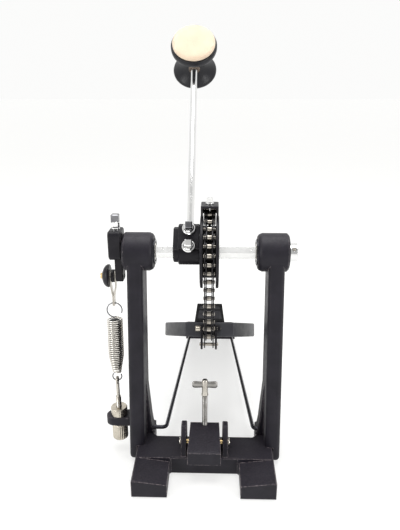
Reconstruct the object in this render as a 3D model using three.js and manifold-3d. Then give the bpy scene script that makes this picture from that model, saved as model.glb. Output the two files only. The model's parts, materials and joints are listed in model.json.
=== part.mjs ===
// Single bass drum pedal with a chain drive, one tension spring and a hoop clamp.
// Millimetres. +X to the right seen from the drum, +Y towards the player's heel, +Z up.
// Origin: centre of the base crossbar's underside, on the floor.
import * as THREE from 'three';
import { mergeVertices } from 'three/addons/utils/BufferGeometryUtils.js';
import Module from 'manifold-3d';

const wasm = await Module();
wasm.setup();

// ---------- driving dimensions ----------
const GAP = 0.3; // between touching pieces
const AXLE = { y: 34, z: 243.5, flats: 13, endRadius: 6, hexHalf: 52.6, left: -101, right: 97 };
const BASE = { height: 21.5, halfDepth: 19, front: -55.5, rear: 49, footInner: 38.5, footOuter: 76,
  outer: 77.2, tabInner: 60.5, footDrop: 5 };
const POST = { inner: 65, outer: 82.2, splay: 0.9, bottom: 1.8, webFront: 22, webRear: 40 };
const HOUSING = { radius: 20.5, inner: 54.5, outer: 87, seat: 14.3, seatDepth: 10.6 };
const BEARING = { outerRing: [10.6, 14], innerRing: [6.3, 9.4], width: 11.4, proud: 1.5 };
const ROD_HOLE = { y: 27, z: 27 };
const WHEEL = { x: 4, radius: 38.5, core: 27.6, half: 9.8, flange: 3 };
const CHAIN = { pitch: 9.525, plate: 4.1, pin: 1.8, roller: 2.54, pinHalf: 6.1, strandLinks: 10,
  strandSlope: 7, tangent: -7, radius: 32.5, topHeadings: [47, 52, 54, 66] };
const HUB = { left: -34.1, step: -28.8, right: -6.1, bottom: 13.8, top: 27, front: 15.5, rear: 18.5 };
const BEATER = { x: -17.5, lean: 37.5, reach: 261, offset: 12, shaft: 4, rim: 28, waist: 16, felt: 26 };
const SCREW = { upper: 19.7, flange: 7.1, square: 7.4 };
const ROCKER = { pinZ: 215.5, left: -101.5, right: -88, legLeft: -96.3, top: 267.7, bottom: 236.5 };
const SPRING = { x: -100.2, tilt: -4.78, radius: 9.1, wire: 0.75, ring: 39, coilTop: 48.6, coilLow: 92,
  taperEnd: 114.5, hook: 118.5, hookRadius: 5.15 };
const EYE = { y: 23.7, z: 92.5, radius: 3.4, wire: 1.5, shank: 1.9, thread: 3.1, step: 71.5, bottom: 17 };
const LUG = { y: 24, half: 9, low: 36.3, high: 47.3, left: -115 };
const BOARD = { x: 4.5, tilt: 26.2, length: 303, top: 9.5, skirt: 16, plate: 4, wall: 3.5,
  toeHalf: 26.5, wideHalf: 54.5, heelHalf: 42 };
const HEEL = { y: 296, z: 22, pin: 3, front: 306, rear: 358, half: 42, high: 13, low: 7.5, rodZ: 7.8, rodX: 36 };
const TOE = { pinY: -307.9, pinZ: -14.4, hole: 3.8, round: 5.6, boltY: -306.6, boltZ: 2.4, ear: [6.6, 8.8] }; // in the board's frame
const CLAMP = { pinY: -4, pinZ: 32, front: -34, rear: 12, frontHalf: 18, rearHalf: 16.2, boltY: 9 };

const radians = THREE.MathUtils.degToRad;

// ---------- materials ----------
const finish = (color, roughness, metalness) => new THREE.MeshStandardMaterial({ color, roughness, metalness });
const CAST = () => finish(0x24242a, 0.55, 0.2);
const DARK = () => finish(0x1b1b20, 0.45, 0.3);
const CHROME = () => finish(0xd8d8d6, 0.15, 1);
const NICKEL = () => finish(0xb4b0a6, 0.3, 1);
const BRASS = () => finish(0xc0a060, 0.35, 1);
const CHAIN_STEEL = () => finish(0x40404a, 0.35, 0.9);
const PLASTIC = () => finish(0x141416, 0.35, 0);
const FELT = () => finish(0xdccdb4, 0.95, 0);
const RUBBER = () => finish(0x18181a, 0.9, 0);

// ---------- solids: joining and cutting ----------
function toSolid(geometry) {
  const plain = geometry.clone();
  plain.deleteAttribute('normal');
  plain.deleteAttribute('uv');
  const merged = mergeVertices(plain, 1e-4);
  const index = merged.index.array;
  const triangles = [];
  for (let i = 0; i < index.length; i += 3) {
    const [a, b, c] = [index[i], index[i + 1], index[i + 2]];
    if (a !== b && b !== c && a !== c) triangles.push(a, b, c);
  }
  return new wasm.Manifold(new wasm.Mesh({
    numProp: 3,
    vertProperties: new Float32Array(merged.attributes.position.array),
    triVerts: new Uint32Array(triangles),
  }));
}

function toGeometry(solid) {
  const { vertProperties, triVerts } = solid.getMesh();
  const geometry = new THREE.BufferGeometry();
  geometry.setAttribute('position', new THREE.BufferAttribute(vertProperties, 3));
  geometry.setIndex(new THREE.BufferAttribute(triVerts, 1));
  return geometry;
}

const join = (...pieces) => toGeometry(pieces.map(toSolid).reduce((whole, piece) => whole.add(piece)));
const cut = (body, ...tools) =>
  toGeometry(tools.map(toSolid).reduce((whole, tool) => whole.subtract(tool), toSolid(body)));

// ---------- simple closed shapes ----------
const UP = new THREE.Vector3(0, 0, 1);
const RIGHT = new THREE.Vector3(1, 0, 0);
const BACK = new THREE.Vector3(0, 1, 0);
const basis = (x, y, z) => new THREE.Matrix4().makeBasis(x, y, z);

function block(x0, x1, y0, y1, z0, z1) {
  return new THREE.BoxGeometry(x1 - x0, y1 - y0, z1 - z0)
    .translate((x0 + x1) / 2, (y0 + y1) / 2, (z0 + z1) / 2);
}

function rodX(radius, x0, x1, y, z, sides = 16) {
  return new THREE.CylinderGeometry(radius, radius, x1 - x0, sides).rotateZ(Math.PI / 2)
    .translate((x0 + x1) / 2, y, z);
}

function rodY(radius, y0, y1, x, z, sides = 16) {
  return new THREE.CylinderGeometry(radius, radius, y1 - y0, sides).translate(x, (y0 + y1) / 2, z);
}

function rodZ(radius, z0, z1, x, y, sides = 16) {
  return new THREE.CylinderGeometry(radius, radius, z1 - z0, sides).rotateX(Math.PI / 2)
    .translate(x, y, (z0 + z1) / 2);
}

// A hexagonal bar along X with flats facing -Y and +Y.
const hexX = (flats, x0, x1, y, z) =>
  new THREE.CylinderGeometry(flats / Math.sqrt(3), flats / Math.sqrt(3), x1 - x0, 6)
    .rotateZ(Math.PI / 2).translate((x0 + x1) / 2, y, z);

function outline(points) {
  return new THREE.Shape(points.map(([a, b]) => new THREE.Vector2(a, b)));
}

// A shape extruded with an optional rounded edge that stays inside its outline.
function extrude(shape, depth, round = 0, steps = 2) {
  const bevel = round > 0
    ? { bevelEnabled: true, bevelSize: round, bevelOffset: -round, bevelThickness: round, bevelSegments: steps }
    : { bevelEnabled: false };
  return new THREE.ExtrudeGeometry(shape, { depth: depth - 2 * round, curveSegments: 6, ...bevel })
    .translate(0, 0, round);
}

// Shapes drawn in (y, z) and run along X; in (x, z) and run along Y; in (x, y) and run along Z.
const slabX = (shape, x0, x1, round, steps) =>
  extrude(shape, x1 - x0, round, steps).applyMatrix4(basis(BACK, UP, RIGHT)).translate(x0, 0, 0);
const slabY = (shape, y0, y1, round, steps) =>
  extrude(shape, y1 - y0, round, steps).applyMatrix4(basis(RIGHT, UP, BACK.clone().negate())).translate(0, y1, 0);
const slabZ = (shape, z0, z1, round, steps) => extrude(shape, z1 - z0, round, steps).translate(0, 0, z0);

// A turned piece about X: points are [x, radius], listed so that x rises along the outside.
const turnX = (points, y, z, sides = 28) =>
  new THREE.LatheGeometry(points.map(([x, r]) => new THREE.Vector2(r, x)), sides)
    .rotateZ(-Math.PI / 2).translate(0, y, z);
const turnZ = (points, x, y, sides = 24) =>
  new THREE.LatheGeometry(points.map(([z, r]) => new THREE.Vector2(r, z)), sides)
    .rotateX(Math.PI / 2).translate(x, y, 0);
const closed = (points) => [...points, points[0]];
const ringX = ([inner, outer], x0, x1, y, z, sides) =>
  turnX(closed([[x0, inner], [x0, outer], [x1, outer], [x1, inner]]), y, z, sides);

function roundedBox(y0, y1, z0, z1, r) {
  const shape = new THREE.Shape();
  shape.moveTo(y0 + r, z0);
  shape.lineTo(y1 - r, z0);
  shape.absarc(y1 - r, z0 + r, r, -Math.PI / 2, 0);
  shape.lineTo(y1, z1 - r);
  shape.absarc(y1 - r, z1 - r, r, 0, Math.PI / 2);
  shape.lineTo(y0 + r, z1);
  shape.absarc(y0 + r, z1 - r, r, Math.PI / 2, Math.PI);
  shape.lineTo(y0, z0 + r);
  shape.absarc(y0 + r, z0 + r, r, Math.PI, 1.5 * Math.PI);
  return shape;
}

// Two round ends of one radius, the first at the origin and the second straight below it.
function linkShape(length, radius) {
  const shape = new THREE.Shape();
  shape.moveTo(-radius, 0);
  shape.lineTo(-radius, -length);
  shape.absarc(0, -length, radius, Math.PI, 2 * Math.PI);
  shape.lineTo(radius, 0);
  shape.absarc(0, 0, radius, 0, Math.PI);
  return shape;
}

// ---------- assembly groups ----------
const pedal = new THREE.Group();
const beaterFrame = new THREE.Group(); // upright beater axes, centred on the axle
beaterFrame.position.set(0, AXLE.y, AXLE.z);
beaterFrame.rotation.x = -radians(BEATER.lean);
const springFrame = new THREE.Group(); // runs down from the rocker pin to the eye rod
springFrame.position.set(SPRING.x, AXLE.y, ROCKER.pinZ);
springFrame.rotation.x = radians(SPRING.tilt);
const boardFrame = new THREE.Group(); // heel hinge at its origin, toe at -Y
boardFrame.position.set(BOARD.x, HEEL.y, HEEL.z);
boardFrame.rotation.x = -radians(BOARD.tilt);
pedal.add(beaterFrame, springFrame, boardFrame);

function add(name, geometry, material, parent = pedal) {
  const mesh = new THREE.Mesh(geometry, material);
  mesh.name = name;
  parent.add(mesh);
  return mesh;
}

// ---------- base casting ----------
function baseOutline() {
  const { front, halfDepth, rear, footInner, footOuter, outer, tabInner } = BASE;
  const fillet = 5;
  const half = [[footInner, front], [footOuter, front], [outer, 0], [outer, rear], [tabInner, rear],
    [tabInner, halfDepth + fillet], [tabInner - fillet, halfDepth]];
  const mirrored = half.map(([x, y]) => [-x, y]).reverse();
  const corner = 2;
  const notch = [[-footInner, -halfDepth - corner], [corner - footInner, -halfDepth],
    [footInner - corner, -halfDepth], [footInner, -halfDepth - corner]];
  return outline([...half, ...mirrored, ...notch]);
}

// The part of each foot above a plane that falls towards the middle, to cradle the round hoop.
function footSlopeCutter(side) {
  const { footInner, footOuter, footDrop, height, halfDepth, front } = BASE;
  const shape = outline([[side * (footInner - 3), height - footDrop - 0.4], [side * (footOuter + 3), height + 0.4],
    [side * (footOuter + 3), height + 9], [side * (footInner - 3), height + 9]]);
  const leanBack = new THREE.Matrix4().makeShear(0, 0, 0, 0, 0, 0.1);
  return slabY(shape, front - 5, -halfDepth - 2.5).applyMatrix4(leanBack);
}

function clampLug(side) {
  const shape = new THREE.Shape();
  shape.moveTo(-17, BASE.height - 2);
  shape.lineTo(15, BASE.height - 2);
  shape.lineTo(11, 47);
  shape.quadraticCurveTo(9.5, 50.9, 6, 50.9);
  shape.lineTo(2, 50.9);
  shape.quadraticCurveTo(-2, 50.9, -4.5, 46);
  shape.lineTo(-15, 31);
  const [x0, x1] = side > 0 ? [20, 26.2] : [-26.2, -20];
  return slabX(shape, x0, x1, 0.8, 1);
}

function baseCasting() {
  const body = slabZ(baseOutline(), 0, BASE.height, 1.2, 1);
  const sloped = cut(body, footSlopeCutter(1), footSlopeCutter(-1));
  const padPocket = block(-50.4, 50.4, -13.4, 13.4, -1, 2.3);
  const screwHoles = [-1, 1].flatMap((side) => [
    rodZ(4, -1, 30, side * 69, 34), rodZ(7.2, -1, 6.3, side * 69, 34)]);
  const pinHole = rodX(3.3, -40, 40, CLAMP.pinY, CLAMP.pinZ);
  return cut(join(sloped, clampLug(1), clampLug(-1)), padPocket, ...screwHoles, pinHole);
}
add('base_casting', baseCasting(), CAST());
add('base_pad', slabZ(outline([[-50, -13], [50, -13], [50, 13], [-50, 13]]), 0, 2), RUBBER());

// ---------- posts ----------
function postColumn() {
  const foot = POST.bottom;
  const shape = new THREE.Shape();
  shape.moveTo(5, foot);
  shape.lineTo(43, foot);
  shape.quadraticCurveTo(50.5, foot, 50, foot + 8);
  shape.quadraticCurveTo(50, 120, 52, AXLE.z);
  shape.lineTo(16, AXLE.z);
  shape.quadraticCurveTo(6, 120, -1.5, foot + 7);
  shape.quadraticCurveTo(-2, foot, 5, foot);
  return slabX(shape, POST.inner, POST.outer, 4.5, 3)
    .translate(0, 0, -AXLE.z).rotateY(-radians(POST.splay)).translate(0, 0, AXLE.z);
}

function postWeb() {
  const edge = [[58.8, 0], [60.6, 3], [62.1, 9], [63.2, 18], [66.4, 58], [69.3, 98], [71.4, 136], [72.6, 168], [73, 203]];
  const shape = outline([[78, 0], ...edge, [78, 203]]);
  return slabY(shape, POST.webFront, POST.webRear, 1.2, 1).translate(0, 0, BASE.height + GAP);
}

function bearingHousing() {
  const { radius, inner, outer } = HOUSING;
  return turnX([[inner, 0], [inner, radius - 3.6], [inner + 1.4, radius - 1.6], [inner + 4.8, radius],
    [outer - 2, radius], [outer, radius - 2], [outer, 0]], AXLE.y, AXLE.z, 36);
}

function rightPost() {
  const solid = join(postColumn(), postWeb(), bearingHousing());
  const step = block(50, BASE.outer + 0.5, -30, 60, -5, BASE.height + GAP);
  const rearPocket = slabX(outline([[36, 60], [60, 60], [60, 205], [40, 205]]), 69.5, 78.5);
  return cut(solid, step, rearPocket,
    rodX(8, 40, 100, AXLE.y, AXLE.z, 20),
    rodX(HOUSING.seat, 40, HOUSING.inner + HOUSING.seatDepth, AXLE.y, AXLE.z, 28),
    rodX(2.8, 50, 75, ROD_HOLE.y, ROD_HOLE.z, 12),
    rodZ(4, 10, 46, 69, 34));
}

function leftPost() {
  const mirrored = toGeometry(toSolid(rightPost()).mirror([1, 0, 0]));
  const lugShape = new THREE.Shape();
  lugShape.moveTo(-76, LUG.y - LUG.half);
  lugShape.lineTo(LUG.left + LUG.half, LUG.y - LUG.half);
  lugShape.absarc(LUG.left + LUG.half, LUG.y, LUG.half, 1.5 * Math.PI, Math.PI / 2, true);
  lugShape.lineTo(-76, LUG.y + LUG.half);
  const lug = slabZ(lugShape, LUG.low, LUG.high, 0.8, 1);
  return cut(join(mirrored, lug), rodZ(3.5, 30, 52, SPRING.x, EYE.y, 14),
    rodZ(4, 10, 46, -69, 34));
}
add('right_post', rightPost(), CAST());
add('left_post', leftPost(), CAST());

for (const [side, word] of [[-1, 'left'], [1, 'right']]) {
  const x = side * 69;
  add(`post_screw_${word}`, join(rodZ(3.6, 1, 43, x, 34, 14), rodZ(6.8, 1, 6, x, 34, 18)), NICKEL());
}

// ---------- bearings, axle and end collar ----------
for (const [side, word] of [[-1, 'left'], [1, 'right']]) {
  const near = side * (HOUSING.inner - BEARING.proud);
  const far = near + side * BEARING.width;
  const [x0, x1] = side > 0 ? [near, far] : [far, near];
  add(`bearing_outer_${word}`, ringX(BEARING.outerRing, x0, x1, AXLE.y, AXLE.z, 28), CHROME());
  add(`bearing_inner_${word}`, ringX(BEARING.innerRing, x0, x1, AXLE.y, AXLE.z, 24), CHROME());
}

function hexAxle() {
  const { endRadius, hexHalf, left, right, flats } = AXLE;
  const turned = turnX([[left, 0], [left, endRadius - 0.8], [left + 0.8, endRadius],
    [right - 0.8, endRadius], [right, endRadius - 0.8], [right, 0]], 0, 0, 20);
  return join(turned, hexX(flats, -hexHalf, hexHalf, 0, 0));
}
add('hex_axle', hexAxle(), CHROME(), beaterFrame);

const COLLAR = { inner: 6.3, outer: 9.9, x0: 87.5, x1: 96.4 };
const collarMiddle = (COLLAR.x0 + COLLAR.x1) / 2;
add('end_collar', cut(
  turnX(closed([[COLLAR.x0, COLLAR.inner], [COLLAR.x0, COLLAR.outer - 0.8], [COLLAR.x0 + 0.8, COLLAR.outer],
    [COLLAR.x1 - 0.8, COLLAR.outer], [COLLAR.x1, COLLAR.outer - 0.8], [COLLAR.x1, COLLAR.inner]]), 0, 0, 28),
  rodY(2.3, -12, 0, collarMiddle, 0, 12)), CHROME(), beaterFrame);
add('end_collar_screw', rodY(2, -9.6, -6.3, collarMiddle, 0, 10), NICKEL(), beaterFrame);

// ---------- drive wheel ----------
function driveWheel() {
  const { x, radius, core, half, flange } = WHEEL;
  const profile = closed([[x - half, 6], [x - half, radius - 0.8], [x - half + 0.8, radius],
    [x - half + flange, radius], [x - half + flange, core], [x + half - flange, core],
    [x + half - flange, radius], [x + half - 0.8, radius], [x + half, radius - 0.8], [x + half, 6]]);
  const holes = [210, 250, 290, 330].map((angle) => {
    const turn = radians(angle);
    return rodX(5, x - half - 1, x + half + 1, 21 * Math.cos(turn), 21 * Math.sin(turn), 12);
  });
  return cut(turnX(profile, 0, 0, 40), hexX(AXLE.flats + 2 * GAP, -20, 20, 0, 0), ...holes);
}
const wheelGeometry = driveWheel().rotateX(-radians(BEATER.lean)).translate(0, AXLE.y, AXLE.z);
add('drive_wheel', cut(wheelGeometry, rodZ(1.9, 258, 300, WHEEL.x, AXLE.y + 3, 10)), DARK());

// ---------- chain ----------
function outerLink(lowPinHalf = CHAIN.pinHalf) {
  const plates = [[-5.2, -4], [4, 5.2]].map(([x0, x1]) => slabX(linkShape(CHAIN.pitch, CHAIN.plate), x0, x1));
  return join(...plates, rodX(CHAIN.pin, -CHAIN.pinHalf, CHAIN.pinHalf, 0, 0, 8),
    rodX(CHAIN.pin, -lowPinHalf, lowPinHalf, 0, -CHAIN.pitch, 8));
}

function innerLink() {
  const plates = [[-3.7, -2.4], [2.4, 3.7]].map(([x0, x1]) => slabX(linkShape(CHAIN.pitch, CHAIN.plate), x0, x1));
  const ends = [0, -CHAIN.pitch];
  const rollers = ends.map((z) => rodX(CHAIN.roller, -3, 3, 0, z, 10));
  const bores = ends.map((z) => rodX(CHAIN.pin + GAP, -6, 6, 0, z, 8));
  return cut(join(...plates, ...rollers), ...bores);
}

// Link angles from straight down, listed from the clamped end to the toe: positive leans the
// lower end towards the heel. The wheel turns each link by one step of its pitch circle.
function chainSlopes() {
  const { pitch, radius, tangent, topHeadings, strandLinks, strandSlope } = CHAIN;
  const step = 2 * Math.asin(pitch / 2 / radius) * 180 / Math.PI;
  const onWheel = [2, 1, 0].map((k) => -(tangent + step * (k + 0.5)));
  return [...topHeadings.map((heading) => -heading).reverse(), ...onWheel,
    ...Array(strandLinks).fill(strandSlope)];
}

const slopes = chainSlopes();
const tangentPin = new THREE.Vector2(AXLE.y - CHAIN.radius * Math.cos(radians(CHAIN.tangent)),
  AXLE.z + CHAIN.radius * Math.sin(radians(CHAIN.tangent)));
const stepDown = (slope) => new THREE.Vector2(Math.sin(radians(slope)), -Math.cos(radians(slope)))
  .multiplyScalar(CHAIN.pitch);
const pin = slopes.slice(0, -CHAIN.strandLinks)
  .reduce((place, slope) => place.sub(stepDown(slope)), tangentPin.clone());
const lastLink = outerLink(10.2);
const outer = outerLink();
const inner = innerLink();
slopes.forEach((slope, i) => {
  const isLast = i === slopes.length - 1;
  const shape = isLast ? lastLink : (i % 2 === 0 ? outer : inner);
  const link = add(`chain_link_${String(i + 1).padStart(2, '0')}`, shape, CHAIN_STEEL());
  link.position.set(WHEEL.x, pin.x, pin.y);
  link.rotation.x = radians(slope);
  pin.add(stepDown(slope));
});

// Inverted channel over the clamped end of the chain, closed at the back by a plate that reaches
// down between the wheel's flanges, with a bolt down into the wheel.
const SADDLE = { y0: 24, y1: 48.2, low: 282.4, high: 294.6, half: 9.1, wall: 2, roof: 2.2, tail: 6.3, tailLow: 269.8 };
function chainClamp() {
  const { y0, y1, low, high, half, wall, roof, tail, tailLow } = SADDLE;
  const hood = slabX(roundedBox(y0, y1, low, high, 1.5), WHEEL.x - half, WHEEL.x + half, 0.6, 1);
  const channel = block(WHEEL.x - half + wall, WHEEL.x + half - wall, 0, y1 - wall, 270, high - roof);
  const tailPlate = block(WHEEL.x - tail, WHEEL.x + tail, y1 - wall, y1, tailLow, high - roof - 2);
  return cut(join(cut(hood, channel), tailPlate), rodZ(1.9, 285, 300, WHEEL.x, AXLE.y + 3, 10));
}
add('chain_clamp', chainClamp(), DARK());
add('chain_clamp_bolt', join(rodZ(1.5, 262, 296, WHEEL.x, AXLE.y + 3, 10),
  rodZ(3.5, SADDLE.high + GAP, 301, WHEEL.x, AXLE.y + 3, 6)), CHROME());

// ---------- beater hub and its screws ----------
function hubShape(inset) {
  const { bottom, top, front, rear } = HUB;
  const shape = new THREE.Shape();
  shape.moveTo(-bottom + inset, 0);
  shape.absarc(0, 0, bottom - inset, Math.PI, 2 * Math.PI);
  shape.lineTo(rear - inset, 7);
  shape.lineTo(rear - inset, top - inset - 4);
  shape.lineTo(rear - inset - 4, top - inset);
  shape.lineTo(-front + inset + 4, top - inset);
  shape.lineTo(-front + inset, top - inset - 4);
  shape.lineTo(-front + inset, -3);
  return shape;
}

function beaterHub() {
  const body = join(slabX(hubShape(0), HUB.step, HUB.right, 1, 1),
    slabX(hubShape(2.5), HUB.left, HUB.right - 4, 1, 1));
  return cut(body, hexX(AXLE.flats + 2 * GAP, -40, 10, 0, 0),
    rodZ(BEATER.shaft + GAP, -30, 40, BEATER.x, BEATER.offset, 20),
    rodY(3.3, -30, 8, BEATER.x, SCREW.upper, 14),
    rodY(3.3, -30, 0, BEATER.x, 0, 14));
}
add('beater_hub', beaterHub(), DARK(), beaterFrame);

// Square-head screw along Y with a round flange, its tip at tipY.
function keyScrew(z, tipY) {
  const face = -HUB.front - GAP;
  const half = SCREW.square / 2;
  return join(rodY(3, face - 1, tipY, BEATER.x, z, 14),
    rodY(SCREW.flange, face - 2.4, face, BEATER.x, z, 24),
    rodY(SCREW.flange - 1.6, face - 4, face - 2, BEATER.x, z, 20),
    block(BEATER.x - half, BEATER.x + half, face - 11.5, face - 3, z - half, z + half));
}
add('hub_screw_upper', keyScrew(SCREW.upper, BEATER.offset - BEATER.shaft - GAP), CHROME(), beaterFrame);
add('hub_screw_lower', keyScrew(0, -AXLE.flats / 2 - GAP), CHROME(), beaterFrame);

// ---------- beater ----------
add('beater_shaft', turnZ([[-6, 0], [-6, BEATER.shaft - 0.7], [-5.3, BEATER.shaft],
  [BEATER.reach + 8, BEATER.shaft], [BEATER.reach + 8, 0]], BEATER.x, BEATER.offset, 20), CHROME(), beaterFrame);

// The head is turned about an axis along Y; [distance towards the drum, radius].
const turnHead = (points, sides = 32) =>
  new THREE.LatheGeometry(points.map(([t, r]) => new THREE.Vector2(r, t)), sides)
    .rotateX(Math.PI).translate(BEATER.x, BEATER.offset, BEATER.reach);

function beaterBody() {
  const { rim, waist } = BEATER;
  const rear = rim - 0.5;
  const profile = [[-30, 0], [-29, 14], [-26, 22.5], [-22.5, rear - 0.6], [-20.5, rear], [-17.5, rear - 1.5],
    [-11, 19.5], [-5, waist + 0.6], [0, waist], [5, waist + 0.8], [11, 20.5], [17, rim - 0.8], [19.5, rim],
    [23, rim - 0.2], [24.6, rim - 1.6], [24.6, 0]];
  return cut(turnHead(profile), rodZ(BEATER.shaft + GAP, BEATER.reach - 40, BEATER.reach + 9, BEATER.x, BEATER.offset, 18));
}
add('beater_body', beaterBody(), PLASTIC(), beaterFrame);
add('beater_felt', turnHead([[24.9, 0], [24.9, BEATER.felt - 0.6], [26.5, BEATER.felt], [29, BEATER.felt - 0.9],
  [30.6, BEATER.felt - 4], [31.6, 12], [31.8, 0]]), FELT(), beaterFrame);

// ---------- spring side: rocker arm, pin, stirrup ----------
function rockerArm() {
  const { left, right, legLeft, top, bottom, pinZ } = ROCKER;
  const head = slabX(roundedBox(AXLE.y - 13, AXLE.y + 13, bottom, top, 5), left, right, 1.2, 1);
  const leg = slabX(roundedBox(AXLE.y - 8, AXLE.y + 8, pinZ - 4.5, bottom + 8, 3), legLeft, right, 0.8, 1);
  return cut(join(head, leg), rodX(AXLE.endRadius + GAP, left - 2, right + 2, AXLE.y, AXLE.z, 20),
    rodX(2.8, left, right + 2, AXLE.y, pinZ, 14),
    rodZ(3.3, AXLE.z, top + 5, -94.5, AXLE.y, 14));
}
add('rocker_arm', rockerArm(), DARK());

const KEY_BOLT = { x: -94.5, neck: 4, flange: 5.2, half: 4.1 };
add('rocker_key_bolt', join(rodZ(3, AXLE.z + AXLE.endRadius + GAP, 272, KEY_BOLT.x, AXLE.y, 14),
  rodZ(KEY_BOLT.neck, ROCKER.top + GAP, 271, KEY_BOLT.x, AXLE.y, 16),
  rodZ(KEY_BOLT.flange, 270, 276.3, KEY_BOLT.x, AXLE.y, 20),
  block(KEY_BOLT.x - KEY_BOLT.half, KEY_BOLT.x + KEY_BOLT.half, AXLE.y - KEY_BOLT.half, AXLE.y + KEY_BOLT.half, 275, 283.8),
), CHROME());

add('rocker_pin', turnX([[-113.9, 0], [-113.9, 2.6], [-113.2, 3.3], [-111.6, 3.3], [-111.6, 2.5], [-101.9, 2.5],
  [-101.9, 7], [-98.2, 7], [-98.2, 2.5], [-89, 2.5], [-89, 0]], AXLE.y, ROCKER.pinZ, 18), BRASS());
add('pin_cap', turnX(closed([[-111.2, 2.8], [-111.2, 6], [-110, 9.4], [-107.6, 11.8], [-105.6, 12.6],
  [-104, 12.4], [-103.7, 11.6], [-103.7, 2.8]]), AXLE.y, ROCKER.pinZ, 28), PLASTIC());

// Strap stirrup: two legs on the pin that draw together into a tongue with a hole for the spring.
function stirrup() {
  const left = -103.4 - SPRING.x;
  const right = -96.7 - SPRING.x;
  const [thick, tongue, foot] = [1.2, 1.2, -33.2];
  const shape = outline([[left, 6], [left, -10], [-tongue, -24], [-tongue, foot], [tongue, foot], [tongue, -24],
    [right, -10], [right, 6], [right - thick, 6], [right - thick, -10.4], [0, -22.5], [left + thick, -10.4],
    [left + thick, 6]]);
  return cut(slabY(shape, -3.6, 3.6), rodX(2.8, -10, 10, 0, 0, 14),
    rodX(1.5, -5, 5, 0, SPRING.radius - SPRING.wire - SPRING.ring, 12));
}
add('spring_stirrup', stirrup(), NICKEL(), springFrame);

// ---------- return spring ----------
// Outer form of the close-wound coil with its narrowing lower end and hook, and the ring at its top.
function ringXZ(radius, z) {
  return new THREE.TorusGeometry(radius, SPRING.wire + 0.1, 6, 20).rotateX(Math.PI / 2).translate(0, 0, z);
}

function returnSpring() {
  const { radius, coilTop, coilLow, taperEnd, hook, hookRadius } = SPRING;
  const coil = turnZ([[-taperEnd, 0], [-taperEnd, 4.4], [-taperEnd + 8, 6.4], [-coilLow, radius],
    [-coilTop, radius], [-coilTop, 0]], 0, 0, 20);
  return join(coil, ringXZ(hookRadius, -hook));
}
add('return_spring', returnSpring(), NICKEL(), springFrame);
add('spring_top_hook', ringXZ(SPRING.radius - SPRING.wire, -SPRING.ring), NICKEL(), springFrame);

// ---------- eye rod and its nuts ----------
function eyeRod() {
  const { y, z, radius, wire, shank, thread, step, bottom } = EYE;
  const eye = new THREE.TorusGeometry(radius, wire, 8, 18).rotateY(Math.PI / 2).translate(SPRING.x, y, z);
  return join(eye, rodZ(shank, step - 1, z - radius, SPRING.x, y, 14), rodZ(thread, bottom, step, SPRING.x, y, 14));
}
add('spring_eye_rod', eyeRod(), NICKEL());

function knurledNut(low, high, radius) {
  const nut = turnZ([[low, 0], [low, radius - 0.9], [low + 0.9, radius], [high - 0.9, radius],
    [high, radius - 0.9], [high, 0]], SPRING.x, EYE.y, 28);
  return cut(nut, rodZ(EYE.thread + GAP, low - 2, high + 2, SPRING.x, EYE.y, 14));
}
add('spring_nut_upper', knurledNut(LUG.high + GAP, 57.5, 9.6), NICKEL());
add('spring_nut_lower', knurledNut(16, LUG.low - GAP, 9), NICKEL());

// ---------- footboard ----------
function boardOutline(inset) {
  const { length, toeHalf, wideHalf, heelHalf } = BOARD;
  const shape = new THREE.Shape();
  const toe = -length + inset;
  const heel = -11 - inset;
  shape.moveTo(-toeHalf + inset, toe);
  shape.lineTo(toeHalf - inset, toe);
  shape.quadraticCurveTo(wideHalf - 8 - inset, toe + 34, wideHalf - inset, toe + 64);
  shape.quadraticCurveTo(wideHalf + 2 - inset, -190, wideHalf - 4 - inset, -140);
  shape.quadraticCurveTo(heelHalf + 2 - inset, -70, heelHalf - inset, heel);
  shape.lineTo(-heelHalf + inset, heel);
  shape.quadraticCurveTo(-heelHalf - 2 + inset, -70, -wideHalf + 4 + inset, -140);
  shape.quadraticCurveTo(-wideHalf - 2 + inset, -190, -wideHalf + inset, toe + 64);
  shape.quadraticCurveTo(-wideHalf + 8 + inset, toe + 34, -toeHalf + inset, toe);
  return shape;
}

function footboard() {
  const { top, skirt, plate, wall } = BOARD;
  const tray = cut(slabZ(boardOutline(0), top - skirt, top, 1, 1),
    slabZ(boardOutline(wall), top - skirt - 2, top - plate));
  const ribs = [-110, -200].map((y) => block(-40, 40, y - 1.5, y + 1.5, top - 12, top - 1));
  const barrel = rodX(6.6, -24, 24, 0, 0, 20);
  const tongue = slabX(outline([[-20, 3], [0, 1], [0, 6.4], [-20, 9.2]]), -24, 24);
  return cut(join(tray, ...ribs, barrel, tongue), rodX(HEEL.pin + GAP, -30, 30, 0, 0, 16));
}
add('footboard', footboard(), CAST(), boardFrame);

// Trapezoid stop that stands on the toe of the board and leans towards the heel.
const STOP = { y: -296.7, foot: 16.6, head: 13.7, height: 20, thick: 7, lean: 3.5 };
function toeStop() {
  const face = outline([[-STOP.foot, 0], [STOP.foot, 0], [STOP.foot - 0.6, 4], [STOP.head, STOP.height],
    [-STOP.head, STOP.height], [-STOP.foot + 0.6, 4]]);
  return slabY(face, 0, STOP.thick, 1, 1).rotateX(-radians(STOP.lean))
    .translate(0, STOP.y, BOARD.top + GAP + STOP.thick * Math.sin(radians(STOP.lean)));
}
add('toe_stop', toeStop(), RUBBER(), boardFrame);

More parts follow.
